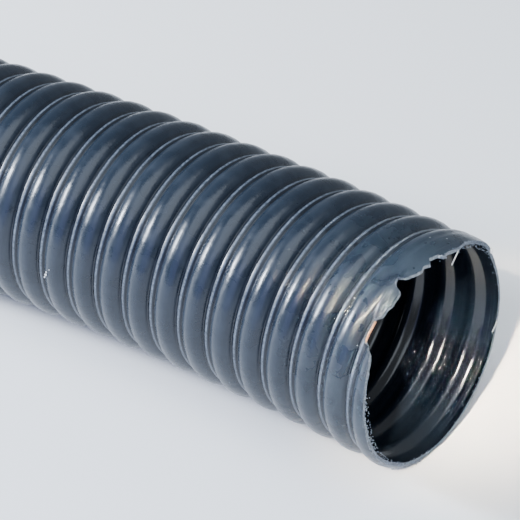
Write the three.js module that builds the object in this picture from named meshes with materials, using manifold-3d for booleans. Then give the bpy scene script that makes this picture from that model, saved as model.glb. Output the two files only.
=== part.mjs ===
// Cut length of wire reinforced rubber duct hose, in millimetres, +Z up.
// A wall of thermoplastic rubber is wound as a wave round a helix of spring wire.
// The wide crests stand outside, and each valley is a bead with the wire in it.
// The hose lies along X with its open, hand-cut end at +X, and rests on its crests.
import * as THREE from 'three';
import Module from 'manifold-3d';
import { mergeVertices } from 'three/addons/utils/BufferGeometryUtils.js';

// Stock and cut length
const BORE_RADIUS = 76.2; // inside, at the ridge under the wire: a 6 in bore
const LENGTH = 914.4; // along the middle of the hose: 3 ft
const PITCH = 25.4; // one turn of the helix
const BEND_RADIUS = 2200; // natural set left from the coil that it was cut from

// Helix wire, and the bead of rubber round it at the bottom of each valley
const WIRE_DIAMETER = 1.6;
const WIRE_CLEARANCE = 0.3; // between the wire and the rubber round it
const WIRE_COVER = 0.57; // rubber above, below and beside the wire's channel
const GROOVE_DEPTH = 1.2; // thin groove on each side of the bead
const GROOVE_WIDTH = 1.3;

// The wave of the wall between two beads
const WAVE_HEIGHT = 4.3; // crest above the bead
const FLANK_WIDTH = 4; // from the groove up to the crest, along the hose
const CREST_WALL = 2.7; // rubber between the crest and the hollow under it
const INNER_FLANK_WIDTH = 5.4; // from the ridge under the wire to that hollow

// Cut ends: the near one leans, because it was cut by hand
const NEAR_CUT_BACK_LEAN = 0.04; // how far the top is set back, per mm of height
const NEAR_CUT_SIDE_LEAN = -0.04; // the same towards -Y
const VALLEY_PHASE = 0.42; // where the valley meets the middle of the near cut, in turns from -Y

// Facets
const SIDES = 12; // round the hose, with one line of vertices straight below
const SPARE_TURNS = 3; // turns wound past the cuts, before the ends are cut

const turns = Math.ceil(LENGTH / PITCH) + SPARE_TURNS;
const steps = turns * SIDES;

// The wire and its channel are square here, with the area of the round ones
const wireSide = (WIRE_DIAMETER * Math.sqrt(Math.PI)) / 2;
const channelSide = wireSide + 2 * WIRE_CLEARANCE;
const channelCorner = channelSide / Math.SQRT2;
const wireRadius = BORE_RADIUS + WIRE_COVER + channelCorner;
const beadRadius = wireRadius + channelCorner + WIRE_COVER;
const crestRadius = beadRadius + WAVE_HEIGHT;

// Section of the wall through one pitch: [along, radius], from the middle of the valley
const beadEdge = channelCorner + WIRE_COVER;
const grooveEdge = beadEdge + GROOVE_WIDTH;
const crestEdge = grooveEdge + FLANK_WIDTH;
const outerProfile = [
  [-grooveEdge, beadRadius - GROOVE_DEPTH],
  [-beadEdge, beadRadius],
  [beadEdge, beadRadius],
  [grooveEdge, beadRadius - GROOVE_DEPTH],
  [crestEdge, crestRadius],
  [PITCH - crestEdge, crestRadius],
];

const ridgeEdge = beadEdge + WIRE_COVER;
const hollowEdge = ridgeEdge + INNER_FLANK_WIDTH;
const innerProfile = [
  [-ridgeEdge, BORE_RADIUS],
  [ridgeEdge, BORE_RADIUS],
  [hollowEdge, crestRadius - CREST_WALL],
  [PITCH - hollowEdge, crestRadius - CREST_WALL],
];

// Where the valley is after a number of steps: the helix is left-handed
function valleyAt(step, target = new THREE.Vector3(), radius = 1, along = 0) {
  const angle = (2 * Math.PI * step) / SIDES;
  const start = LENGTH / 2 - PITCH * (VALLEY_PHASE + turns - 1);
  const x = start + (PITCH * step) / SIDES + along;
  return target.set(x, -radius * Math.cos(angle), radius * Math.sin(angle));
}

// A solid rod whose surface is one wave wound on a helix, closed at both ends
function windRod(profile) {
  const positions = [];
  const indices = [];
  const point = new THREE.Vector3();
  const rows = profile.length;
  for (let step = 0; step <= steps + SIDES; step++) {
    for (const [along, radius] of profile) {
      valleyAt(step, point, radius, along);
      positions.push(point.x, point.y, point.z);
    }
  }
  const vertex = (row, step) => (row < rows ? step * rows + row : (step + SIDES) * rows + row - rows);
  for (let step = 0; step < steps; step++) {
    for (let row = 0; row < rows; row++) {
      const a = vertex(row, step);
      const b = vertex(row + 1, step);
      const c = vertex(row + 1, step + 1);
      const d = vertex(row, step + 1);
      indices.push(a, b, c, a, c, d);
    }
  }
  // each end is a fan from the middle of the hose to the last turn of the wave
  for (const [step, flip] of [[0, false], [steps, true]]) {
    const rim = [];
    for (let k = 0; k <= SIDES; k++) rim.push(vertex(0, step + k));
    for (let row = rows - 1; row > 0; row--) rim.push(vertex(row, step));
    const centre = positions.length / 3;
    valleyAt(step + SIDES / 2, point, 0, profile[0][0]);
    positions.push(point.x, point.y, point.z);
    rim.forEach((from, k) => {
      const to = rim[(k + 1) % rim.length];
      if (flip) indices.push(centre, to, from);
      else indices.push(centre, from, to);
    });
  }
  const geometry = new THREE.BufferGeometry();
  geometry.setAttribute('position', new THREE.Float32BufferAttribute(positions, 3));
  geometry.setIndex(indices);
  return geometry;
}

// The line of the wire
class HelixCurve extends THREE.Curve {
  constructor() {
    super();
    this.arcLengthDivisions = steps;
  }

  getPoint(t, target = new THREE.Vector3()) {
    return valleyAt(t * steps, target, wireRadius);
  }
}

// A square section of the same area as a round wire, drawn along the helix
function windWire(side) {
  const corner = side / Math.SQRT2;
  const section = new THREE.Shape([
    new THREE.Vector2(corner, 0),
    new THREE.Vector2(0, corner),
    new THREE.Vector2(-corner, 0),
    new THREE.Vector2(0, -corner),
  ]);
  return new THREE.ExtrudeGeometry(section, { steps, extrudePath: new HelixCurve(), bevelEnabled: false });
}

// Lays a straight geometry along the gentle curve that the hose rests in
function bend(geometry) {
  const position = geometry.getAttribute('position');
  const point = new THREE.Vector3();
  for (let i = 0; i < position.count; i++) {
    point.fromBufferAttribute(position, i);
    const angle = point.x / BEND_RADIUS;
    const reach = BEND_RADIUS + point.y;
    position.setXYZ(i, reach * Math.sin(angle), reach * Math.cos(angle) - BEND_RADIUS, point.z);
  }
  return geometry;
}

const wasm = await Module();
wasm.setup();

function toSolid(geometry) {
  const bare = geometry.clone();
  bare.deleteAttribute('normal');
  bare.deleteAttribute('uv');
  const merged = mergeVertices(bare, 1e-4);
  const vertProperties = new Float32Array(merged.getAttribute('position').array);
  const triVerts = new Uint32Array(merged.getIndex().array);
  return new wasm.Manifold(new wasm.Mesh({ numProp: 3, vertProperties, triVerts }));
}

function toGeometry(solid) {
  const mesh = solid.getMesh();
  const geometry = new THREE.BufferGeometry();
  geometry.setAttribute('position', new THREE.Float32BufferAttribute(mesh.vertProperties, 3));
  geometry.setIndex(new THREE.BufferAttribute(mesh.triVerts, 1));
  return geometry;
}

// A block whose +X face is a cut, and which holds all that is left of it
function keepBehind(angle, backLean, sideLean) {
  const size = 2 * LENGTH;
  const block = new THREE.BoxGeometry(size, size, size).translate(-size / 2, 0, 0);
  const normal = new THREE.Vector3(1, -sideLean, backLean).normalize();
  const turn = new THREE.Quaternion().setFromUnitVectors(new THREE.Vector3(1, 0, 0), normal);
  block.applyQuaternion(turn);
  block.rotateZ(-angle);
  block.translate(BEND_RADIUS * Math.sin(angle), BEND_RADIUS * (Math.cos(angle) - 1), 0);
  return block;
}

const endAngle = LENGTH / 2 / BEND_RADIUS;
const nearBlock = toSolid(keepBehind(endAngle, NEAR_CUT_BACK_LEAN, NEAR_CUT_SIDE_LEAN));
const farBlock = toSolid(keepBehind(endAngle, 0, 0).rotateY(Math.PI));
const cutEnds = (solid) => solid.intersect(nearBlock).intersect(farBlock);

const outside = toSolid(bend(windRod(outerProfile)));
const inside = toSolid(bend(windRod(innerProfile)));
const channel = toSolid(bend(windWire(channelSide)));
const wire = toSolid(bend(windWire(wireSide)));

const wallGeometry = toGeometry(cutEnds(outside.subtract(inside).subtract(channel)));
const wireGeometry = toGeometry(cutEnds(wire));

// The origin is below the middle of the hose, on the surface that it rests on
wallGeometry.computeBoundingBox();
const origin = wallGeometry.boundingBox.getCenter(new THREE.Vector3());
origin.z = wallGeometry.boundingBox.min.z;
for (const geometry of [wallGeometry, wireGeometry]) {
  geometry.translate(-origin.x, -origin.y, -origin.z);
  geometry.computeVertexNormals();
}

const rubber = new THREE.MeshStandardMaterial({ color: 0x1d242c, roughness: 0.42, metalness: 0, flatShading: true });
const springWire = new THREE.MeshStandardMaterial({ color: 0xa8683c, roughness: 0.35, metalness: 1 });

const wall = new THREE.Mesh(wallGeometry, rubber);
wall.name = 'hose_wall';
const helix = new THREE.Mesh(wireGeometry, springWire);
helix.name = 'helix_wire';

const group = new THREE.Group();
group.name = 'wire_reinforced_rubber_hose';
group.add(wall, helix);

export default group;
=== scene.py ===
"""Looks of a cut length of wire reinforced rubber duct hose.

A section through one turn of the wall is wound into a wave on a helix, with a coated spring wire
in each valley. The straight hose is then trimmed at both ends and laid on the gentle bend of its set.
"""

import math

import bmesh
import bpy
import numpy as np
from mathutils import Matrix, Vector, noise


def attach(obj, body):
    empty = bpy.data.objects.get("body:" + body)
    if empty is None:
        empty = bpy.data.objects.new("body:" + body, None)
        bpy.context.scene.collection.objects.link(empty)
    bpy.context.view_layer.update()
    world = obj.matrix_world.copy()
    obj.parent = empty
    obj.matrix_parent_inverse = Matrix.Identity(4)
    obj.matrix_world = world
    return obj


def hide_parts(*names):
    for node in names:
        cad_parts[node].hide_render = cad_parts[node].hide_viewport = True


bl_info = {
    "name": "Wire reinforced rubber hose",
    "version": (1, 0, 0),
    "blender": (4, 5, 0),
    "location": "3D View > Sidebar > Hose",
    "description": "Winds a rubber duct hose round its spring wire, with a hand-cut end",
    "category": "Object",
}

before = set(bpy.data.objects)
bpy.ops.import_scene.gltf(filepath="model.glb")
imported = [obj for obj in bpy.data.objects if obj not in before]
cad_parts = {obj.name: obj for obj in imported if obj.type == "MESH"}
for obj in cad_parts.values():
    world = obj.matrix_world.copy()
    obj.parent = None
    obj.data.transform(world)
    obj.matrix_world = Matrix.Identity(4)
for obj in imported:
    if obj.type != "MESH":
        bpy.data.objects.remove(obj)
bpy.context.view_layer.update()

MM = 0.001
HOSE_LENGTH = 914.4 * MM
HOSE_MIDDLE = Vector((1.451, 23.115, 84.494)) * MM  # halfway along the middle line of the hose
BEND_RADIUS = 2200 * MM
VALLEY_PHASE = 0.42  # turns from -Y at which the valley meets the middle of the near cut
TURNS = 39
SIDES = 54
INNER_PITCH = 25.4  # mm, at which the section of the bore is drawn
HOLLOW_DEPTH = 5.6  # mm from the ridge under the wire to the hollow under the crest
WIRE_LIFT = 2 * MM  # from the ridge to the middle of the wire
WIRE_TURNS = 37
WIRE_SHORT = 0.3 * MM  # how far the wire stops short of the far cut

# The near cut, as (degrees round the hose from -Y over the top, mm that it is cut back).
# A knife went straight across the back and below, and the top was torn along the valley.
NEAR_RIM = [
    (-166, 4.8), (-151, 2.7), (-136, 1.3), (-121, -0.6), (-106, -2.4), (-91, -4.0), (-76, -5.1),
    (-61, -6.2), (-45, -6.7), (-32, -6.5), (-20, -6.9), (-10, -6.8), (-2, -6.0), (8, -5.8), (18, -4.7),
    (25, -3.6), (29, -1.8), (31, 2.5), (32.5, 7.6), (36, 9.6), (42, 9.2), (45, 8.2), (47, 3.2), (48, 2.5),
    (51.7, 1.9), (54.2, 0.3), (56.2, 0.8), (58.8, 0.4), (61.6, 1.1), (62.8, 5.7), (64.8, 7.7), (66.8, 8.3),
    (68.3, 4.2), (69.8, 2.5), (72.4, 0.7), (76.4, -1.2), (78.4, 0.2), (81.9, -1.9), (84, 1.0), (86, 0.9),
    (89, -0.3), (91, -3.6), (95, -2.4), (100, -3.2), (104, -3.1), (107, -1.8), (111, -0.6), (118, -0.2),
    (126, 0.5), (132, 1.0), (138, 1.9), (148, 4.5), (157, 6.0), (169, 5.6), (179, 4.9),
]
RAGGED_AT = 75  # degrees round the hose at which the tear is most ragged
RIM_BAND = 4.5 * MM  # on each side of the near cut, where the wall is divided finely
RIM_DIVISIONS = 5
WIRE_END = 44  # degrees round the hose at which the bare wire stops

# The skin above the torn edge, where the wire was pulled out of the last valley
PULLED_OUT = ([44, 54, 132, 160], [0, 1, 1, 0])  # degrees round the hose, and how smooth the skin is there
SMOOTH_REACH = 9 * MM  # past the middle of that valley
LIP_DROP = 1.6 * MM
LIP_RUN = 12 * MM
CREST_MARK = 8 * MM  # distance from a valley at which the skin counts as crest

# Share of crumbs left on the near cut, against degrees round the hose
CRUMBS = (
    [-180, -130, -90, -62, -48, -20, 2, 15, 85, 100, 125, 150, 180],
    [0, 0.05, 0.15, 0.3, 1, 1, 0.5, 0, 0, 0.4, 0.5, 0.2, 0],
)
CRUMB_DENSITY = 420000.0  # to the square metre, where the share is 1
CRUMB_RADIUS = 0.36 * MM
CRUMB_RING = (77.2 * MM, 83.2 * MM)  # radii between which they stick
CRUMB_STEPS = 240
THREAD_RADIUS = 0.3 * MM

# Specks of rubber on the skin: degrees round the hose, mm behind the near cut, mm from its middle, mm radius
SPECKS = [
    (-2.5, 282, 84.3, 0.9), (-4.2, 283.2, 84.3, 0.6), (-0.8, 281.4, 84.3, 0.5), (1.3, 278.4, 84.3, 0.4),
    (102.7, 7.1, 84.0, 0.35), (49.6, 29.3, 80.1, 0.5), (97, 15, 84.3, 0.25), (30, 12, 80.2, 0.3),
]

# Shavings that hang on the near cut, as lines of degrees, mm behind the cut and mm from the middle
SHAVINGS = [
    [(103, -2.4, 81.5), (103.5, -3.0, 79.5), (102, -3.2, 76.5), (101, -2.6, 72), (100.5, -2.2, 69)],
    [(136, 1.5, 83.4), (137.5, -1.2, 82.6), (139.5, -1.6, 80.6), (138, -1.4, 79), (136, -1.2, 80),
     (136.4, -0.6, 82)],
    [(-168, 3.4, 80), (-166, 2.6, 77.8), (-163, 2.2, 75)],
]

# The photographed view: a long lens, above and to the right of the open end
CAMERA_LENS = 174.7
CAMERA_PLACE = Vector((1.0211, -1.2905, 1.1039))
CAMERA_AIM = Vector((0.3339, -0.0487, 0.1364))

# Each light: name, place, size in metres, spread in degrees, power in watts, sRGB colour, aimed at
LIGHTS = [
    ("side_softbox", (-2.2, -0.9, 1.15), 0.55, 180, 230, "#e8f1ff", (0.1, 0, 0.08)),
    ("overhead_softbox", (0.8, -1.2, 2.5), 3.2, 180, 110, "#e0ecf8", (0.1, 0, 0.08)),
    ("low_fill", (0.2, -2.8, 0.9), 2.8, 180, 40, "#a2b0ff", (0.2, 0, 0.06)),
    ("bore_lamp", (0.8, -1.51, 1.4), 0.12, 4, 0.4, "#fff0d6", (0.46, 0.0, 0.06)),
]
SKY_COLOUR = "#eff7ff"
SKY_STRENGTH = 0.5


def linear(hex_colour):
    """A colour written as sRGB hex, in the linear values that Blender works in."""
    parts = [int(hex_colour[i : i + 2], 16) / 255 for i in (1, 3, 5)]
    return [c / 12.92 if c <= 0.04045 else ((c + 0.055) / 1.055) ** 2.4 for c in parts]


def add(tree, kind, inputs=None, **settings):
    """Adds a node with its settings. An input is a value, or the output that it is linked to."""
    made = tree.nodes.new(kind)
    for name, value in settings.items():
        setattr(made, name, value)
    for key, value in (inputs or {}).items():
        if isinstance(value, bpy.types.NodeSocket):
            tree.links.new(value, made.inputs[key])
        else:
            made.inputs[key].default_value = value
    return made


# Sections of the wall


def outer_section(sizes):
    """Points (along, radius) of the outside through one turn, from the middle of one bead to the next."""
    bead = [(0, 0), (1.15, -0.04), (1.75, -0.3), (2.15, -0.75), (2.5, -1.05), (2.9, -1.2), (3.3, -1.2)]
    foot = bead[-1]
    half = sizes.pitch / 2 - foot[0] * MM
    rise = sizes.wave_height - foot[1] * MM
    start = 0.07
    low = math.sqrt(1 - (1 - start) ** 2)
    points = [(along * MM, sizes.bead_radius + height * MM) for along, height in bead]
    for share in (0.04, 0.1, 0.18, 0.29, 0.44, 0.64, 0.86):
        v = start + (1 - start) * share
        height = (math.sqrt(1 - (1 - v) ** 2) - low) / (1 - low)
        points.append((foot[0] * MM + share * half, sizes.bead_radius + foot[1] * MM + rise * height))
    far_side = [(sizes.pitch - along, radius) for along, radius in reversed(points)]
    return points + far_side


def inner_section(sizes):
    """Points (along, radius) of the bore through one turn, with the strip's lapped edges as fine ribs."""
    ridge = [(0, 0), (1.4, 0.12), (2.6, 0.55), (3.8, 1.5), (5.2, 3.1), (6.6, 4.5), (8.2, 5.3)]
    ridge.append((10.0, HOLLOW_DEPTH))
    ribs = [(11.0, 5.62), (11.5, 5.1), (12.1, 5.62), (13.2, 5.62), (13.6, 5.05), (14.3, 5.62)]
    far_side = [(INNER_PITCH - along, height) for along, height in reversed(ridge)]
    shape = ridge + ribs + far_side
    return [(along / INNER_PITCH * sizes.pitch, sizes.bore_radius + height * MM) for along, height in shape]


def section_object(name, points):
    """A line of points (along, radius) as an object that a tree can wind."""
    mesh = bpy.data.meshes.new(name)
    edges = [(i, i + 1) for i in range(len(points) - 1)]
    mesh.from_pydata([(along, radius, 0) for along, radius in points], edges, [])
    made = bpy.data.objects.new(name, mesh)
    bpy.context.collection.objects.link(made)
    return made


# Winding


def place_on_helix():
    """A node group that turns a place on the strip into a place on the straight, left-handed hose."""
    tree = bpy.data.node_groups.new("Place on helix", "GeometryNodeTree")
    for name in ("Turn", "Along", "Radius", "Pitch", "Start"):
        tree.interface.new_socket(name=name, in_out="INPUT", socket_type="NodeSocketFloat")
    tree.interface.new_socket(name="Position", in_out="OUTPUT", socket_type="NodeSocketVector")
    given = add(tree, "NodeGroupInput").outputs
    angle = add(tree, "ShaderNodeMath", {0: given["Turn"], 1: -2 * math.pi}, operation="MULTIPLY").outputs[0]
    down = add(tree, "ShaderNodeMath", {0: given["Radius"], 1: -1.0}, operation="MULTIPLY").outputs[0]
    lead = {0: given["Turn"], 1: given["Pitch"], 2: given["Start"]}
    valley = add(tree, "ShaderNodeMath", lead, operation="MULTIPLY_ADD").outputs[0]
    x = add(tree, "ShaderNodeMath", {0: valley, 1: given["Along"]}, operation="ADD").outputs[0]
    flat = add(tree, "ShaderNodeCombineXYZ", {"X": x, "Y": down}).outputs[0]
    turned = add(tree, "ShaderNodeVectorRotate", {"Vector": flat, "Angle": angle}, rotation_type="X_AXIS")
    add(tree, "NodeGroupOutput", {"Position": turned.outputs[0]})
    return tree


def named_inputs(tree, sockets):
    for name, kind in sockets.items():
        tree.interface.new_socket(name=name, in_out="INPUT", socket_type="NodeSocket" + kind)


def wall_tree(helix):
    """Winds a section, given as a line of points, into a wall. A row of the grid is a step round the hose."""
    tree = bpy.data.node_groups.new("Wind wall", "GeometryNodeTree")
    tree.is_modifier = True
    sockets = {"Section": "Geometry", "Turns": "Int", "Sides": "Int", "Pitch": "Float", "Start": "Float"}
    named_inputs(tree, {**sockets, "Finish": "Material"})
    tree.interface.new_socket(name="Wall", in_out="OUTPUT", socket_type="NodeSocketGeometry")
    given = add(tree, "NodeGroupInput").outputs
    size = add(tree, "GeometryNodeAttributeDomainSize", {0: given["Section"]}, component="MESH")
    count = size.outputs["Point Count"]
    rows = {0: given["Turns"], 1: given["Sides"], 2: 1.0}
    steps = add(tree, "ShaderNodeMath", rows, operation="MULTIPLY_ADD").outputs[0]
    grid = add(tree, "GeometryNodeMeshGrid", {"Vertices X": steps, "Vertices Y": count}).outputs["Mesh"]
    index = add(tree, "GeometryNodeInputIndex").outputs[0]
    share = add(tree, "ShaderNodeMath", {0: index, 1: count}, operation="DIVIDE").outputs[0]
    step = add(tree, "ShaderNodeMath", {0: share}, operation="FLOOR").outputs[0]
    turn = add(tree, "ShaderNodeMath", {0: step, 1: given["Sides"]}, operation="DIVIDE").outputs[0]
    row = add(tree, "ShaderNodeMath", {0: index, 1: count}, operation="MODULO").outputs[0]
    point = add(tree, "GeometryNodeInputPosition").outputs[0]
    sample = add(tree, "GeometryNodeSampleIndex", data_type="FLOAT_VECTOR", domain="POINT")
    tree.links.new(given["Section"], sample.inputs["Geometry"])
    tree.links.new(point, sample.inputs["Value"])
    tree.links.new(row, sample.inputs["Index"])
    place = add(tree, "ShaderNodeSeparateXYZ", {0: sample.outputs[0]}).outputs
    where = {"Turn": turn, "Along": place[0], "Radius": place[1]}
    where |= {"Pitch": given["Pitch"], "Start": given["Start"]}
    wound = add(tree, "GeometryNodeGroup", where, node_tree=helix).outputs[0]
    shaped = add(tree, "GeometryNodeSetPosition", {"Geometry": grid, "Position": wound}).outputs[0]
    beyond = add(tree, "ShaderNodeMath", {0: given["Pitch"], 1: place[0]}, operation="SUBTRACT").outputs[0]
    nearest = add(tree, "ShaderNodeMath", {0: place[0], 1: beyond}, operation="MINIMUM").outputs[0]
    # the finish reads the distance to the nearest valley, and the place on the strip laid flat
    mark = {"Geometry": shaped, "Name": "valley", "Value": nearest}
    marked = add(tree, "GeometryNodeStoreNamedAttribute", mark, data_type="FLOAT", domain="POINT").outputs[0]
    run = add(tree, "ShaderNodeMath", {0: turn, 1: 0.5}, operation="MULTIPLY").outputs[0]
    flat = add(tree, "ShaderNodeCombineXYZ", {"X": place[0], "Y": run}).outputs[0]
    on_points = add(tree, "GeometryNodeFieldOnDomain", domain="POINT", data_type="FLOAT_VECTOR")
    tree.links.new(flat, on_points.inputs[0])
    strip = add(tree, "GeometryNodeStoreNamedAttribute", data_type="FLOAT_VECTOR", domain="CORNER")
    strip.inputs["Name"].default_value = "strip"
    tree.links.new(marked, strip.inputs["Geometry"])
    tree.links.new(on_points.outputs[0], strip.inputs["Value"])
    joined = {"Geometry": strip.outputs[0], "Distance": 0.02 * MM}
    closed = add(tree, "GeometryNodeMergeByDistance", joined).outputs[0]
    smooth = add(tree, "GeometryNodeSetShadeSmooth", {"Geometry": closed}).outputs[0]
    real = add(tree, "GeometryNodeRealizeInstances", {"Geometry": smooth}).outputs[0]
    finish = add(tree, "GeometryNodeSetMaterial", {"Geometry": real, "Material": given["Finish"]}).outputs[0]
    add(tree, "NodeGroupOutput", {"Wall": finish})
    return tree


def wire_tree(helix):
    """Bends a straight wire into the helix, between two turns counted from the start."""
    tree = bpy.data.node_groups.new("Wind wire", "GeometryNodeTree")
    tree.is_modifier = True
    sockets = {"Stub": "Geometry", "Points": "Int", "Sides": "Int", "Last turn": "Float", "Radius": "Float"}
    sockets |= {"Wire radius": "Float", "Pitch": "Float", "Start": "Float"}
    named_inputs(tree, {**sockets, "Finish": "Material"})
    tree.interface.new_socket(name="Wire", in_out="OUTPUT", socket_type="NodeSocketGeometry")
    given = add(tree, "NodeGroupInput").outputs
    line = add(tree, "GeometryNodeCurvePrimitiveLine").outputs[0]
    many = {"Curve": line, "Count": given["Points"]}
    dense = add(tree, "GeometryNodeResampleCurve", many, mode="COUNT").outputs[0]
    index = add(tree, "GeometryNodeInputIndex").outputs[0]
    back = add(tree, "ShaderNodeMath", {0: index, 1: given["Sides"]}, operation="DIVIDE").outputs[0]
    turn = add(tree, "ShaderNodeMath", {0: given["Last turn"], 1: back}, operation="SUBTRACT").outputs[0]
    where = {"Turn": turn, "Radius": given["Radius"], "Pitch": given["Pitch"], "Start": given["Start"]}
    wound = add(tree, "GeometryNodeGroup", where, node_tree=helix).outputs[0]
    coil = add(tree, "GeometryNodeSetPosition", {"Geometry": dense, "Position": wound}).outputs[0]
    round_wire = {"Resolution": 10, "Radius": given["Wire radius"]}
    ring = add(tree, "GeometryNodeCurvePrimitiveCircle", round_wire).outputs[0]
    drawn = {"Curve": coil, "Profile Curve": ring, "Fill Caps": True}
    tube = add(tree, "GeometryNodeCurveToMesh", drawn).outputs[0]
    smooth = add(tree, "GeometryNodeSetShadeSmooth", {"Geometry": tube}).outputs[0]
    real = add(tree, "GeometryNodeRealizeInstances", {"Geometry": smooth}).outputs[0]
    finish = add(tree, "GeometryNodeSetMaterial", {"Geometry": real, "Material": given["Finish"]}).outputs[0]
    add(tree, "NodeGroupOutput", {"Wire": finish})
    return tree


def crumb_tree():
    """Scatters crumbs of torn rubber over a cut face, by the attribute "torn"."""
    tree = bpy.data.node_groups.new("Scatter crumbs", "GeometryNodeTree")
    tree.is_modifier = True
    sockets = {"Cut face": "Geometry", "Density": "Float", "Crumb radius": "Float", "Seed": "Int"}
    named_inputs(tree, {**sockets, "Finish": "Material"})
    tree.interface.new_socket(name="Crumbs", in_out="OUTPUT", socket_type="NodeSocketGeometry")
    given = add(tree, "NodeGroupInput").outputs
    wanted = add(tree, "GeometryNodeInputNamedAttribute", {"Name": "torn"}, data_type="FLOAT").outputs[0]
    density = add(tree, "ShaderNodeMath", {0: given["Density"], 1: wanted}, operation="MULTIPLY").outputs[0]
    spread = {"Mesh": given["Cut face"], "Density": density, "Seed": given["Seed"]}
    points = add(tree, "GeometryNodeDistributePointsOnFaces", spread, distribute_method="RANDOM").outputs[0]
    shape = {"Radius": given["Crumb radius"], "Subdivisions": 1}
    crumb = add(tree, "GeometryNodeMeshIcoSphere", shape).outputs[0]
    turn = add(tree, "FunctionNodeRandomValue", {"Seed": given["Seed"]}, data_type="FLOAT_VECTOR")
    turn.inputs[1].default_value = (6.28, 6.28, 6.28)
    stretch = add(tree, "FunctionNodeRandomValue", {"Seed": 5}, data_type="FLOAT_VECTOR")
    stretch.inputs[0].default_value = (0.4, 0.3, 0.4)
    stretch.inputs[1].default_value = (1.9, 1.0, 1.1)
    scatter = {"Points": points, "Instance": crumb, "Rotation": turn.outputs[0], "Scale": stretch.outputs[0]}
    placed = add(tree, "GeometryNodeInstanceOnPoints", scatter).outputs[0]
    real = add(tree, "GeometryNodeRealizeInstances", {"Geometry": placed}).outputs[0]
    finish = add(tree, "GeometryNodeSetMaterial", {"Geometry": real, "Material": given["Finish"]}).outputs[0]
    add(tree, "NodeGroupOutput", {"Crumbs": finish})
    return tree


def grown(source, tree, values):
    """The plain mesh that a tree makes from an object, which is then removed."""
    modifier = source.modifiers.new(tree.name, "NODES")
    modifier.node_group = tree
    for socket in tree.interface.items_tree:
        if socket.name in values:
            modifier[socket.identifier] = values[socket.name]
    bpy.context.view_layer.update()
    evaluated = source.evaluated_get(bpy.context.evaluated_depsgraph_get())
    mesh = bpy.data.meshes.new_from_object(evaluated)
    source.modifiers.remove(modifier)
    bpy.data.objects.remove(source)
    return mesh


# Cutting and laying out


def helix_start(sizes):
    return HOSE_LENGTH / 2 - sizes.pitch * (VALLEY_PHASE + TURNS - 1)


def near_rim(angle, fine=1.0):
    """How far back the near end is cut, at an angle round the hose."""
    degrees = np.degrees(angle)
    knots = [(d - 360, v) for d, v in NEAR_RIM] + NEAR_RIM + [(d + 360, v) for d, v in NEAR_RIM]
    base = np.interp(degrees, [d for d, _ in knots], [v for _, v in knots])
    torn = 0.3 + 0.7 * max(0.0, 1 - abs(degrees - RAGGED_AT) / 50)
    grain = noise.noise(Vector((math.cos(angle) * 36, math.sin(angle) * 36, 0))) * 0.5
    grain += noise.noise(Vector((math.cos(angle) * 90, math.sin(angle) * 90, 5))) * 0.3
    return (base + grain * torn * fine) * MM


def far_rim(angle):
    grain = noise.noise(Vector((math.cos(angle) * 30, math.sin(angle) * 30, 9)))
    return 0.15 * grain * MM


def around(co):
    return math.atan2(co.z, -co.y)


def trimmed(mesh, refine):
    """A wound surface cut off at both rims. The near rim is refined first, so that it can be ragged."""
    bm = bmesh.new()
    bm.from_mesh(mesh)
    half = HOSE_LENGTH / 2
    for vertex in bm.verts:
        vertex.tag = vertex.co.x > half + 12 * MM or vertex.co.x < -half - 6 * MM
    bmesh.ops.delete(bm, geom=[f for f in bm.faces if all(v.tag for v in f.verts)], context="FACES")
    if refine:
        near = []
        for edge in bm.edges:
            a, b = edge.verts[0].co, edge.verts[1].co
            middle = (a + b) / 2
            rim = half - near_rim(around(middle), 0)
            across = abs(math.remainder(around(a) - around(b), 2 * math.pi))
            if across > math.pi / SIDES and abs(middle.x - rim) < RIM_BAND:
                near.append(edge)
        bmesh.ops.subdivide_edges(bm, edges=near, cuts=RIM_DIVISIONS, use_grid_fill=True)
    # each rim is flat while it is cut
    for sign, rim in ((1, near_rim), (-1, far_rim)):
        for vertex in bm.verts:
            vertex.co.x = sign * vertex.co.x - half + rim(around(vertex.co))
        geometry = list(bm.verts) + list(bm.edges) + list(bm.faces)
        bmesh.ops.bisect_plane(bm, geom=geometry, plane_co=(0, 0, 0), plane_no=(1, 0, 0), clear_outer=True)
        for vertex in bm.verts:
            vertex.co.x = sign * (vertex.co.x + half - rim(around(vertex.co)))
    return bm


def torn_smooth(bm, sizes, crest):
    """Flattens the last valley where the wire was pulled out of it, so the skin runs on to the torn edge."""
    mark = bm.verts.layers.float["valley"]
    for vertex in bm.verts:
        angle = around(vertex.co)
        back = HOSE_LENGTH / 2 - vertex.co.x - sizes.pitch * (VALLEY_PHASE - angle / (2 * math.pi))
        if back > SMOOTH_REACH or vertex.co.x < 0:
            continue
        share = float(np.interp(math.degrees(angle), *PULLED_OUT))
        radius = math.hypot(vertex.co.y, vertex.co.z)
        drop = LIP_DROP * ((SMOOTH_REACH - back) / LIP_RUN) ** 2
        wanted = radius + (crest - drop - radius) * share
        vertex.co.y *= wanted / radius
        vertex.co.z *= wanted / radius
        vertex[mark] += (CREST_MARK - vertex[mark]) * share


def open_rim(bm, sign):
    """The vertices of the open end at one side, in order round the hose."""
    rim = {v for e in bm.edges if e.is_boundary for v in e.verts if v.co.x * sign > 0}
    return sorted(rim, key=lambda v: around(v.co))


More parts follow.
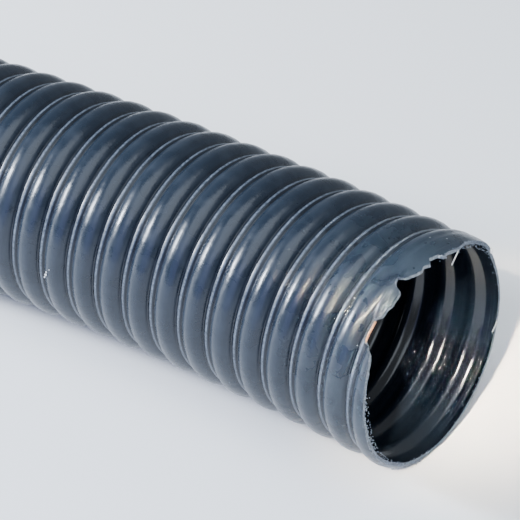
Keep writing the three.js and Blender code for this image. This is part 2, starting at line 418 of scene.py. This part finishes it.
def close_rims(bm, sign, outer, inner, material):
    """Fills the ring between the outer and inner rims with the cut face."""
    faces = []
    i = j = 0
    n, m = len(outer), len(inner)
    while i < n or j < m:
        a, b = outer[i % n], inner[j % m]
        next_outer = around(outer[(i + 1) % n].co) + (2 * math.pi if i + 1 >= n else 0)
        next_inner = around(inner[(j + 1) % m].co) + (2 * math.pi if j + 1 >= m else 0)
        if j >= m or (i < n and next_outer <= next_inner):
            corners = [a, outer[(i + 1) % n], b]
            i += 1
        else:
            corners = [a, inner[(j + 1) % m], b]
            j += 1
        if sign < 0:
            corners.reverse()
        face = bm.faces.new(corners)
        face.material_index = material
        face.smooth = False
        faces.append(face)
    return faces


def laid_on_bend(co):
    """A point of the straight hose, on the bend that the hose rests in."""
    angle = co.x / BEND_RADIUS
    reach = BEND_RADIUS + co.y
    return HOSE_MIDDLE + Vector((reach * math.sin(angle), reach * math.cos(angle) - BEND_RADIUS, co.z))


def on_hose(degrees, back, radius):
    """A point of the straight hose: degrees round it, mm behind the near cut, and mm from its middle."""
    angle = math.radians(degrees)
    return Vector((HOSE_LENGTH / MM / 2 - back, -radius * math.cos(angle), radius * math.sin(angle))) * MM


def tube(points, radius):
    """The mesh of a thin closed thread along a line of points."""
    curve = bpy.data.curves.new("thread", "CURVE")
    curve.dimensions = "3D"
    curve.bevel_depth = radius
    curve.bevel_resolution = 1
    curve.use_fill_caps = True
    spline = curve.splines.new("NURBS")
    spline.points.add(len(points) - 1)
    for knot, place in zip(spline.points, points):
        knot.co = (*place, 1)
    spline.use_endpoint_u = True
    holder = bpy.data.objects.new("thread", curve)
    bpy.context.collection.objects.link(holder)
    bpy.context.view_layer.update()
    mesh = bpy.data.meshes.new_from_object(holder.evaluated_get(bpy.context.evaluated_depsgraph_get()))
    bpy.data.objects.remove(holder)
    return mesh


def finished_piece(name, mesh, nodes=()):
    made = bpy.data.objects.new(name, mesh)
    bpy.context.collection.objects.link(made)
    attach(made, "root")
    if nodes:
        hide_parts(*nodes)
    return made


# Finishes


def new_material(name):
    material = bpy.data.materials.new(name)
    material.use_nodes = True
    material.node_tree.nodes.clear()
    return material, material.node_tree


def extruded_rubber(colours):
    """Thermoplastic rubber, extruded as a strip and wound hot: a satin skin with drawn-out flow lines."""
    material, tree = new_material("Extruded thermoplastic rubber")
    place = add(tree, "ShaderNodeTexCoord").outputs["Object"]
    valley = add(tree, "ShaderNodeAttribute", attribute_name="valley").outputs["Fac"]
    strip = add(tree, "ShaderNodeAttribute", attribute_name="strip").outputs["Vector"]
    # handling dust in patches of 8 to 20 mm, and rubbed pale on top of the bead
    patch = {"Vector": place, "Scale": 70.0, "Detail": 3.0}
    patches = add(tree, "ShaderNodeTexNoise", patch).outputs[0]
    speck = add(tree, "ShaderNodeTexNoise", {"Vector": place, "Scale": 600.0, "Detail": 3.0}).outputs[0]
    rubbed = {"Value": speck, "From Min": 0.25, "From Max": 0.65, "To Min": 0.1, "To Max": 1.0}
    uneven = add(tree, "ShaderNodeMapRange", rubbed).outputs[0]
    low = {"Value": valley, "From Min": 0.0004, "From Max": 0.0012, "To Min": 1.0, "To Max": 0.0}
    on_top = add(tree, "ShaderNodeMapRange", low).outputs[0]
    bead = add(tree, "ShaderNodeMath", {0: on_top, 1: uneven}, operation="MULTIPLY").outputs[0]
    thin = {"Value": patches, "From Min": 0.4, "From Max": 0.9, "To Max": 0.1}
    film = add(tree, "ShaderNodeMapRange", thin).outputs[0]
    dust = add(tree, "ShaderNodeMath", {0: bead, 1: film}, operation="MAXIMUM").outputs[0]
    # painted shade: the skin in the grooves beside the bead is darkened to nearly black, where shade falls
    groove_shade = {"Value": valley, "From Min": 0.0034, "From Max": 0.0048, "To Min": 0.75, "To Max": 0.0}
    groove_shade_mask = add(tree, "ShaderNodeMapRange", groove_shade).outputs[0]
    skin_with_groove_shade = add(tree, "ShaderNodeMix", {"Factor": groove_shade_mask}, data_type="RGBA")
    skin_with_groove_shade.inputs["A"].default_value = (*colours.rubber, 1)
    skin_with_groove_shade.inputs["B"].default_value = (*colours.groove_shade, 1)
    clean = skin_with_groove_shade.outputs["Result"]
    colour = add(tree, "ShaderNodeMix", {"Factor": dust, "A": clean}, data_type="RGBA")
    colour.inputs["B"].default_value = (*colours.dust, 1)
    # flow lines 0.7 mm wide and 30 times as long, which break each highlight into streaks along the strip,
    # over soft ripples of 7 mm that bend it
    longer = {0: strip, 1: (1.0, 0.035, 1.0)}
    drawn_out = add(tree, "ShaderNodeVectorMath", longer, operation="MULTIPLY").outputs[0]
    flow = add(tree, "ShaderNodeTexNoise", {"Vector": drawn_out, "Scale": 1400.0, "Detail": 2.0}).outputs[0]
    waves = add(tree, "ShaderNodeTexNoise", {"Vector": place, "Scale": 150.0, "Detail": 2.0}).outputs[0]
    relief = add(tree, "ShaderNodeMath", {0: waves, 1: 2.5, 2: flow}, operation="MULTIPLY_ADD").outputs[0]
    skin = add(tree, "ShaderNodeBump", {"Strength": 0.7, "Distance": 0.00012, "Height": relief}).outputs[0]
    satin = {"Value": patches, "From Min": 0.3, "From Max": 0.75, "To Min": 0.22, "To Max": 0.38}
    gloss = add(tree, "ShaderNodeMapRange", satin).outputs[0]
    dusty = {0: bead, 1: 0.3, 2: gloss}
    rough = add(tree, "ShaderNodeMath", dusty, operation="MULTIPLY_ADD").outputs[0]
    inputs = {"Base Color": colour.outputs["Result"], "Roughness": rough, "Normal": skin, "IOR": 1.5}
    shader = add(tree, "ShaderNodeBsdfPrincipled", inputs)
    add(tree, "ShaderNodeOutputMaterial", {"Surface": shader.outputs[0]})
    return material


def bore_rubber(colours):
    """The same rubber on the mandrel side: pressed smooth and glossy, and free of dust, with its colour
    darkened as painted shade, for the bore lies in shade.
    """
    material, tree = new_material("Mandrel-smooth rubber in painted shade")
    place = add(tree, "ShaderNodeTexCoord").outputs["Object"]
    waves = add(tree, "ShaderNodeTexNoise", {"Vector": place, "Scale": 120.0, "Detail": 3.0}).outputs[0]
    skin = add(tree, "ShaderNodeBump", {"Strength": 0.2, "Distance": 0.0002, "Height": waves}).outputs[0]
    gloss = add(tree, "ShaderNodeMapRange", {"Value": waves, "To Min": 0.14, "To Max": 0.3}).outputs[0]
    shader = add(tree, "ShaderNodeBsdfPrincipled", {"Roughness": gloss, "Normal": skin, "IOR": 1.5})
    # painted shade: the bore's base colour is darker than the outside skin's, as the bore lies in shade
    shader.inputs["Base Color"].default_value = (*colours.bore, 1)
    add(tree, "ShaderNodeOutputMaterial", {"Surface": shader.outputs[0]})
    return material


def cut_rubber(name, colours, least):
    """Rubber where the knife dragged through it: matt, with pale tear marks of up to 1 mm."""
    material, tree = new_material(name)
    place = add(tree, "ShaderNodeTexCoord").outputs["Object"]
    drag = {"Vector": place, "Scale": 900.0, "Detail": 5.0, "Roughness": 0.7}
    tears = add(tree, "ShaderNodeTexNoise", drag).outputs[0]
    flecks = {"Value": tears, "From Min": 0.45, "From Max": 0.75, "To Min": least}
    paler = add(tree, "ShaderNodeMapRange", flecks).outputs[0]
    colour = add(tree, "ShaderNodeMix", {"Factor": paler}, data_type="RGBA")
    colour.inputs["A"].default_value = (*colours.rubber, 1)
    colour.inputs["B"].default_value = (*colours.cut, 1)
    skin = add(tree, "ShaderNodeBump", {"Strength": 0.8, "Distance": 0.0004, "Height": tears}).outputs[0]
    shader = add(tree, "ShaderNodeBsdfPrincipled", {"Base Color": colour.outputs["Result"], "Normal": skin})
    shader.inputs["Roughness"].default_value = 0.6
    shader.inputs["IOR"].default_value = 1.5
    add(tree, "ShaderNodeOutputMaterial", {"Surface": shader.outputs[0]})
    return material


def coated_wire(colours):
    """Spring steel wire with a drawn copper coat: bright, with dull spots of 1 to 2 mm."""
    material, tree = new_material("Copper-coated spring wire")
    place = add(tree, "ShaderNodeTexCoord").outputs["Object"]
    spots = add(tree, "ShaderNodeTexNoise", {"Vector": place, "Scale": 700.0, "Detail": 3.0}).outputs[0]
    dull = {"Value": spots, "From Min": 0.5, "From Max": 0.72, "To Max": 0.6}
    dulled = add(tree, "ShaderNodeMapRange", dull).outputs[0]
    colour = add(tree, "ShaderNodeMix", {"Factor": dulled}, data_type="RGBA")
    colour.inputs["A"].default_value = (*colours.wire, 1)
    colour.inputs["B"].default_value = (*colours.spots, 1)
    gloss = add(tree, "ShaderNodeMapRange", {"Value": spots, "To Min": 0.28, "To Max": 0.5}).outputs[0]
    coat = {"Base Color": colour.outputs["Result"], "Roughness": gloss}
    shader = add(tree, "ShaderNodeBsdfPrincipled", coat)
    shader.inputs["Metallic"].default_value = 1.0
    add(tree, "ShaderNodeOutputMaterial", {"Surface": shader.outputs[0]})
    return material


def studio_paper(colours):
    """Matt seamless paper, so the only reflections are the hose's own."""
    material, tree = new_material("Seamless studio paper")
    place = add(tree, "ShaderNodeTexCoord").outputs["Object"]
    pulp = add(tree, "ShaderNodeTexNoise", {"Vector": place, "Scale": 400.0, "Detail": 2.0}).outputs[0]
    skin = add(tree, "ShaderNodeBump", {"Strength": 0.02, "Distance": 0.0001, "Height": pulp}).outputs[0]
    shader = add(tree, "ShaderNodeBsdfPrincipled", {"Normal": skin})
    shader.inputs["Base Color"].default_value = (*colours.floor, 1)
    shader.inputs["Roughness"].default_value = 0.9
    add(tree, "ShaderNodeOutputMaterial", {"Surface": shader.outputs[0]})
    return material


# Sizes and colours that a user would change

LENGTH = {"unit": "LENGTH", "precision": 4}
COLOUR = {"subtype": "COLOR", "min": 0, "max": 1}


class HoseSizes(bpy.types.PropertyGroup):
    bore_radius: bpy.props.FloatProperty(
        name="Bore radius", description="To the ridge under the wire", default=76.2 * MM, **LENGTH
    )
    bead_radius: bpy.props.FloatProperty(
        name="Bead radius", description="To the top of the bead over the wire", default=80.2 * MM, **LENGTH
    )
    wave_height: bpy.props.FloatProperty(
        name="Wave height", description="Crest above the bead", default=4.3 * MM, **LENGTH
    )
    pitch: bpy.props.FloatProperty(
        name="Pitch", description="Along the hose for one turn of the wire", default=25.4 * MM, **LENGTH
    )
    wire_diameter: bpy.props.FloatProperty(
        name="Wire diameter", description="Of the spring wire with its coat", default=1.6 * MM, **LENGTH
    )


class HoseColours(bpy.types.PropertyGroup):
    rubber: bpy.props.FloatVectorProperty(
        name="Rubber", description="Outside skin", default=linear("#121e2b"), **COLOUR
    )
    # painted shade: the colour that the skin in the grooves beside the bead is darkened to
    groove_shade: bpy.props.FloatVectorProperty(
        name="Groove", description="Skin beside the bead", default=linear("#0d141e"), **COLOUR
    )
    dust: bpy.props.FloatVectorProperty(
        name="Dust", description="Dust and rubbed places on the skin", default=linear("#616b78"), **COLOUR
    )
    # painted shade: the bore's colour is set darker than the outside skin's because the bore lies in shade
    bore: bpy.props.FloatVectorProperty(
        name="Bore", description="Inside skin", default=linear("#0b1119"), **COLOUR
    )
    cut: bpy.props.FloatVectorProperty(
        name="Cut", description="Pale flecks of torn rubber", default=linear("#8a96a8"), **COLOUR
    )
    wire: bpy.props.FloatVectorProperty(
        name="Wire", description="Copper coat of the wire", default=linear("#e0a27a"), **COLOUR
    )
    spots: bpy.props.FloatVectorProperty(
        name="Spots", description="Dull spots on the wire", default=linear("#6b3a26"), **COLOUR
    )
    floor: bpy.props.FloatVectorProperty(
        name="Floor", description="Studio floor", default=linear("#ffffff"), **COLOUR
    )


# Operators


class HOSE_OT_wall(bpy.types.Operator):
    """Winds the rubber wall, cuts its ends and lays it on its bend"""

    bl_idname = "hose.wall"
    bl_label = "Wind the wall"

    def execute(self, context):
        sizes, colours = context.scene.hose_sizes, context.scene.hose_colours
        finishes = [extruded_rubber(colours), bore_rubber(colours)]
        finishes.append(cut_rubber("Knife-cut rubber", colours, 0.1))
        tree = wall_tree(place_on_helix())
        surfaces = []
        for name, section, finish in (
            ("outside", outer_section(sizes), finishes[0]),
            ("bore", inner_section(sizes), finishes[1]),
        ):
            values = {"Turns": TURNS, "Sides": SIDES, "Pitch": sizes.pitch, "Finish": finish}
            values["Start"] = helix_start(sizes)
            mesh = grown(section_object(name, section), tree, values)
            surfaces.append(trimmed(mesh, refine=True))
        outside, bore = surfaces
        torn_smooth(outside, sizes, sizes.bead_radius + sizes.wave_height)
        torn_smooth(bore, sizes, sizes.bore_radius + HOLLOW_DEPTH * MM)
        for index, bm in enumerate(surfaces):
            bmesh.ops.recalc_face_normals(bm, faces=list(bm.faces))
            face = next(iter(bm.faces))
            centre = face.calc_center_median()
            outwards = face.normal.dot(Vector((0, centre.y, centre.z))) > 0
            if outwards != (index == 0):
                bmesh.ops.reverse_faces(bm, faces=list(bm.faces))
            for face in bm.faces:
                face.material_index = index
        joined = bpy.data.meshes.new("bore")
        bore.to_mesh(joined)
        for vertex in outside.verts:
            vertex.tag = True
        outside.from_mesh(joined)
        inner = {v for v in outside.verts if not v.tag}
        outside.normal_update()
        for sign in (1, -1):
            rim = open_rim(outside, sign)
            close_rims(outside, sign, [v for v in rim if v not in inner], [v for v in rim if v in inner], 2)
        for vertex in outside.verts:
            vertex.co = laid_on_bend(vertex.co)
        outside.normal_update()
        mesh = bpy.data.meshes.new("rubber_wall")
        outside.to_mesh(mesh)
        for finish in finishes:
            mesh.materials.append(finish)
        wall = finished_piece("rubber_wall", mesh, ["hose_wall"])
        for bm in surfaces:
            bm.free()
        return {"FINISHED"}


class HOSE_OT_wire(bpy.types.Operator):
    """Winds the spring wire and cuts its ends"""

    bl_idname = "hose.wire"
    bl_label = "Wind the wire"

    def execute(self, context):
        sizes, colours = context.scene.hose_sizes, context.scene.hose_colours
        last_turn = TURNS - 1 + WIRE_END / 360
        values = {
            "Points": SIDES * WIRE_TURNS,
            "Sides": SIDES,
            "Last turn": last_turn,
            "Radius": sizes.bore_radius + WIRE_LIFT,
            "Wire radius": sizes.wire_diameter / 2,
            "Pitch": sizes.pitch,
            "Start": helix_start(sizes),
            "Finish": coated_wire(colours),
        }
        mesh = grown(section_object("wire", [(0, 0), (1, 0)]), wire_tree(place_on_helix()), values)
        bm = bmesh.new()
        bm.from_mesh(mesh)
        bmesh.ops.remove_doubles(bm, verts=list(bm.verts), dist=0.001 * MM)
        geometry = list(bm.verts) + list(bm.edges) + list(bm.faces)
        plane = {"plane_co": (WIRE_SHORT - HOSE_LENGTH / 2, 0, 0), "plane_no": (-1, 0, 0)}
        cut = bmesh.ops.bisect_plane(bm, geom=geometry, clear_outer=True, **plane)
        rim = [e for e in cut["geom_cut"] if isinstance(e, bmesh.types.BMEdge)]
        bmesh.ops.holes_fill(bm, edges=rim)
        bmesh.ops.recalc_face_normals(bm, faces=list(bm.faces))
        for vertex in bm.verts:
            vertex.co = laid_on_bend(vertex.co)
        bm.to_mesh(mesh)
        bm.free()
        wire = finished_piece("spring_wire", mesh, ["helix_wire"])
        return {"FINISHED"}


class HOSE_OT_crumbs(bpy.types.Operator):
    """Leaves the crumbs and shavings of the knife on the near cut"""

    bl_idname = "hose.crumbs"
    bl_label = "Leave the crumbs"

    def execute(self, context):
        half = HOSE_LENGTH / 2
        rings = []
        for step in range(CRUMB_STEPS):
            angle = 2 * math.pi * step / CRUMB_STEPS
            x = half - near_rim(angle)
            rings.append([(x, -r * math.cos(angle), r * math.sin(angle)) for r in CRUMB_RING])
        points = [laid_on_bend(Vector(point)) for ring in rings for point in ring]
        count = len(points)
        faces = [(k, k + 1, (k + 3) % count, (k + 2) % count) for k in range(0, count, 2)]
        mesh = bpy.data.meshes.new("cut_face")
        mesh.from_pydata(points, [], faces)
        torn = mesh.attributes.new("torn", "FLOAT", "POINT")
        for k, entry in enumerate(torn.data):
            degrees = math.remainder(360 * (k // 2) / CRUMB_STEPS, 360)
            entry.value = max(np.interp(degrees, *CRUMBS), 0)
        source = bpy.data.objects.new("cut_face", mesh)
        context.collection.objects.link(source)
        finish = cut_rubber("Torn rubber crumbs", context.scene.hose_colours, 0.85)
        values = {"Density": CRUMB_DENSITY, "Crumb radius": CRUMB_RADIUS, "Seed": 3, "Finish": finish}
        scattered = grown(source, crumb_tree(), values)
        bm = bmesh.new()
        bm.from_mesh(scattered)
        for degrees, back, radius, size in SPECKS:
            speck = bmesh.ops.create_icosphere(bm, subdivisions=2, radius=size * MM)["verts"]
            middle = laid_on_bend(on_hose(degrees, back, radius))
            for vertex in speck:
                rough = 1 + 0.45 * noise.noise(vertex.co * 1700 + Vector((back, 0, 0)))
                vertex.co = middle + vertex.co * rough
        for shaving in SHAVINGS:
            line = [laid_on_bend(on_hose(*place)) for place in shaving]
            bm.from_mesh(tube(line, THREAD_RADIUS))
        bm.to_mesh(scattered)
        bm.free()
        crumbs = finished_piece("cut_crumbs", scattered)
        return {"FINISHED"}


class HOSE_OT_studio(bpy.types.Operator):
    """Sets up the floor, the lights and the camera"""

    bl_idname = "hose.studio"
    bl_label = "Set up the studio"

    def execute(self, context):
        colours = context.scene.hose_colours
        mesh = bpy.data.meshes.new("floor")
        bm = bmesh.new()
        bmesh.ops.create_grid(bm, x_segments=2, y_segments=2, size=6)
        bm.to_mesh(mesh)
        bm.free()
        mesh.materials.append(studio_paper(colours))
        floor = bpy.data.objects.new("floor", mesh)
        context.collection.objects.link(floor)
        camera = bpy.data.objects.new("camera", bpy.data.cameras.new("camera"))
        context.collection.objects.link(camera)
        context.scene.camera = camera
        camera.data.lens = CAMERA_LENS
        camera.data.sensor_width = 36
        camera.data.clip_start = 0.05
        camera.data.clip_end = 50
        camera.location = CAMERA_PLACE
        camera.rotation_euler = (CAMERA_AIM - CAMERA_PLACE).to_track_quat("-Z", "Y").to_euler()
        world = bpy.data.worlds.new("studio")
        world.use_nodes = True
        tree = world.node_tree
        tree.nodes.clear()
        light = {"Color": (*linear(SKY_COLOUR), 1), "Strength": SKY_STRENGTH}
        sky = add(tree, "ShaderNodeBackground", light)
        add(tree, "ShaderNodeOutputWorld", {"Surface": sky.outputs[0]})
        context.scene.world = world
        for name, place, size, spread, power, tint, aim in LIGHTS:
            data = bpy.data.lights.new(name, "AREA")
            data.size = size
            data.spread = math.radians(spread)
            data.energy = power
            data.color = linear(tint)
            lamp = bpy.data.objects.new(name, data)
            context.collection.objects.link(lamp)
            lamp.location = place
            lamp.rotation_euler = (Vector(aim) - Vector(place)).to_track_quat("-Z", "Y").to_euler()
        return {"FINISHED"}


class HOSE_PT_panel(bpy.types.Panel):
    """Sizes, colours and steps of the hose"""

    bl_label = "Rubber duct hose"
    bl_space_type = "VIEW_3D"
    bl_region_type = "UI"
    bl_category = "Hose"

    def draw(self, context):
        for group in (context.scene.hose_sizes, context.scene.hose_colours):
            for name in group.__annotations__:
                self.layout.prop(group, name)
        for step in STEPS:
            self.layout.operator(step.bl_idname)


STEPS = (HOSE_OT_wall, HOSE_OT_wire, HOSE_OT_crumbs, HOSE_OT_studio)
CLASSES = (HoseSizes, HoseColours, *STEPS, HOSE_PT_panel)


def register():
    for cls in CLASSES:
        bpy.utils.register_class(cls)
    bpy.types.Scene.hose_sizes = bpy.props.PointerProperty(type=HoseSizes)
    bpy.types.Scene.hose_colours = bpy.props.PointerProperty(type=HoseColours)


def unregister():
    del bpy.types.Scene.hose_colours
    del bpy.types.Scene.hose_sizes
    for cls in reversed(CLASSES):
        bpy.utils.unregister_class(cls)


def main():
    register()
    bpy.ops.hose.wall()
    bpy.ops.hose.wire()
    bpy.ops.hose.crumbs()
    bpy.ops.hose.studio()


if __name__ == "__main__":
    main()
